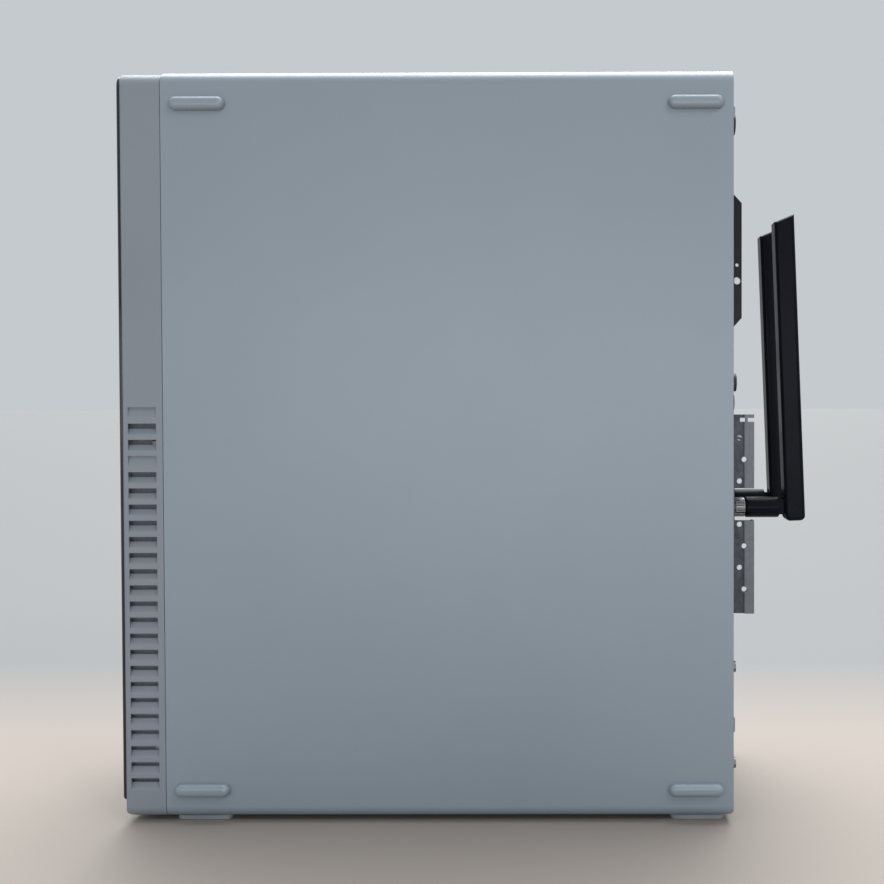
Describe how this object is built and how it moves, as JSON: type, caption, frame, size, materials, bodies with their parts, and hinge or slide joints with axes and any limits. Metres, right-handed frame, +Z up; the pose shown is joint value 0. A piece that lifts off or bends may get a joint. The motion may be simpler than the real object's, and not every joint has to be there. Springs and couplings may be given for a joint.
{
  "type": "slim desktop computer tower",
  "caption": "Slim upright computer tower with a louvred front bezel, folded painted case, rear slot bay and two paddle antennas that swivel and tilt.",
  "frame": {"origin": "on the floor, under the middle of the overall outline, antennas included", "axes": "+Z up; +X out of the plain side panel; +Y from the front to the rear"},
  "size_m": [0.1003, 0.3163, 0.3431],
  "materials": {
    "painted_case": "fine silver-grey powder coat",
    "bezel_plastic": "painted to match the case",
    "dark_fascia": "dark, gloss",
    "galvanised": "galvanised sheet",
    "stamped_steel": "bright thin sheet",
    "black_metal": "black paint",
    "plated_steel": "nickel plated",
    "gold_metal": "gold plated",
    "black_plastic": "satin black",
    "grey_rubber": "soft grey",
    "light_guide": "milky",
    "board_green": "solder resist",
    "cooler_alloy": "extruded",
    "processor_lid": "nickel",
    "drive_alloy": "cast",
    "filter_mesh": "fine grid",
    "button_metal": "satin"
  },
  "bodies": {
    "case": {"outer_shell": "painted_case", "side_feet": "bezel_plastic", "base_feet": "grey_rubber", "lock_bracket": "black_metal", "chassis_tray": "galvanised", "rear_panel": "galvanised", "front_frame": "galvanised", "front_bezel": "bezel_plastic", "front_fascia": "dark_fascia", "light_guides": "light_guide", "front_port_block": "black_plastic", "front_io_board": "board_green", "dust_filter": "filter_mesh", "system_fan_frame": "black_plastic", "motherboard": "board_green", "board_fixings": "gold_metal", "processor": "processor_lid", "cpu_heatsink": "cooler_alloy", "cpu_fan_frame": "black_plastic", "board_sockets": "black_plastic", "memory_modules": "board_green", "board_components": "black_plastic", "chipset_heatsink": "cooler_alloy", "rear_usb_ports": "plated_steel", "network_port": "plated_steel", "display_ports": "plated_steel", "keyboard_port": "black_plastic", "audio_jacks": "black_plastic", "io_shield": "stamped_steel", "slot_bay": "galvanised", "slot_covers": "stamped_steel", "wifi_bracket": "stamped_steel", "wifi_card": "board_green", "antenna_jacks": "gold_metal", "psu_case": "galvanised", "psu_board": "board_green", "mains_inlet": "black_plastic", "psu_switch_frame": "black_plastic", "psu_fan_frame": "black_plastic", "psu_fan_grille": "plated_steel", "rear_screws": "plated_steel", "drive_cage": "galvanised", "drive_screws": "plated_steel", "hard_drive_left": "drive_alloy", "hard_drive_right": "drive_alloy"},
    "cover": {"left_cover": "painted_case"},
    "upper_thumbscrew": {"thumbscrew_upper": "black_metal"},
    "lower_thumbscrew": {"thumbscrew_lower": "black_metal"},
    "button": {"power_button": "button_metal"},
    "near_swivel": {"near_antenna_base": "black_plastic", "near_antenna_nut": "plated_steel"},
    "near_blade": {"near_antenna_blade": "black_plastic"},
    "far_swivel": {"far_antenna_base": "black_plastic", "far_antenna_nut": "plated_steel"},
    "far_blade": {"far_antenna_blade": "black_plastic"},
    "system_rotor": {"system_fan_rotor": "black_plastic"},
    "cpu_rotor": {"cpu_fan_rotor": "black_plastic"},
    "psu_rotor": {"psu_fan_rotor": "black_plastic"},
    "rocker": {"psu_switch_rocker": "black_plastic"},
    "latch": {"slot_latch": "galvanised"}
  },
  "joints": [
    {"name": "cover_slide", "type": "slide", "parent": "case", "child": "cover", "axis": [-1, 0, 0], "range_m": [0, 0.12]},
    {"name": "upper_thumbscrew_turn", "type": "hinge", "parent": "cover", "child": "upper_thumbscrew", "pos_m": [-0.043, 0.1215, 0.217], "axis": [0, 1, 0], "continuous": true},
    {"name": "lower_thumbscrew_turn", "type": "hinge", "parent": "cover", "child": "lower_thumbscrew", "pos_m": [-0.043, 0.1215, 0.083], "axis": [0, 1, 0], "continuous": true},
    {"name": "power_press", "type": "slide", "parent": "case", "child": "button", "axis": [0, 1, 0], "range_m": [0, 0.0015], "stiffness_N_per_m": 500, "springref_m": -0.001},
    {"name": "near_antenna_swivel", "type": "hinge", "parent": "case", "child": "near_swivel", "pos_m": [0.026, 0.1315, 0.1422], "axis": [0, 1, 0], "range_deg": [0, 120]},
    {"name": "near_antenna_tilt", "type": "hinge", "parent": "near_swivel", "child": "near_blade", "pos_m": [0.026, 0.1531, 0.1422], "axis": [-1, 0, 0], "range_deg": [0, 92.2]},
    {"name": "far_antenna_swivel", "type": "hinge", "parent": "case", "child": "far_swivel", "pos_m": [-0.014, 0.1315, 0.1422], "axis": [0, -1, 0], "range_deg": [0, 120]},
    {"name": "far_antenna_tilt", "type": "hinge", "parent": "far_swivel", "child": "far_blade", "pos_m": [-0.014, 0.1531, 0.1422], "axis": [-1, 0, 0], "range_deg": [0, 92.2]},
    {"name": "system_fan_spin", "type": "hinge", "parent": "case", "child": "system_rotor", "pos_m": [0, -0.12, 0.054], "axis": [0, 1, 0], "continuous": true},
    {"name": "cpu_fan_spin", "type": "hinge", "parent": "case", "child": "cpu_rotor", "pos_m": [0, 0.047, 0.257], "axis": [1, 0, 0], "continuous": true},
    {"name": "psu_fan_spin", "type": "hinge", "parent": "case", "child": "psu_rotor", "pos_m": [0, 0.03, 0.062], "axis": [0, 0, 1], "continuous": true},
    {"name": "mains_rocker", "type": "hinge", "parent": "case", "child": "rocker", "pos_m": [0.0105, 0.1173, 0.038], "axis": [-1, 0, 0], "range_deg": [0, 14]},
    {"name": "slot_latch_turn", "type": "hinge", "parent": "case", "child": "latch", "pos_m": [-0.0345, 0.1255, 0.132], "axis": [0, 0, 1], "range_deg": [0, 80]}
  ]
}
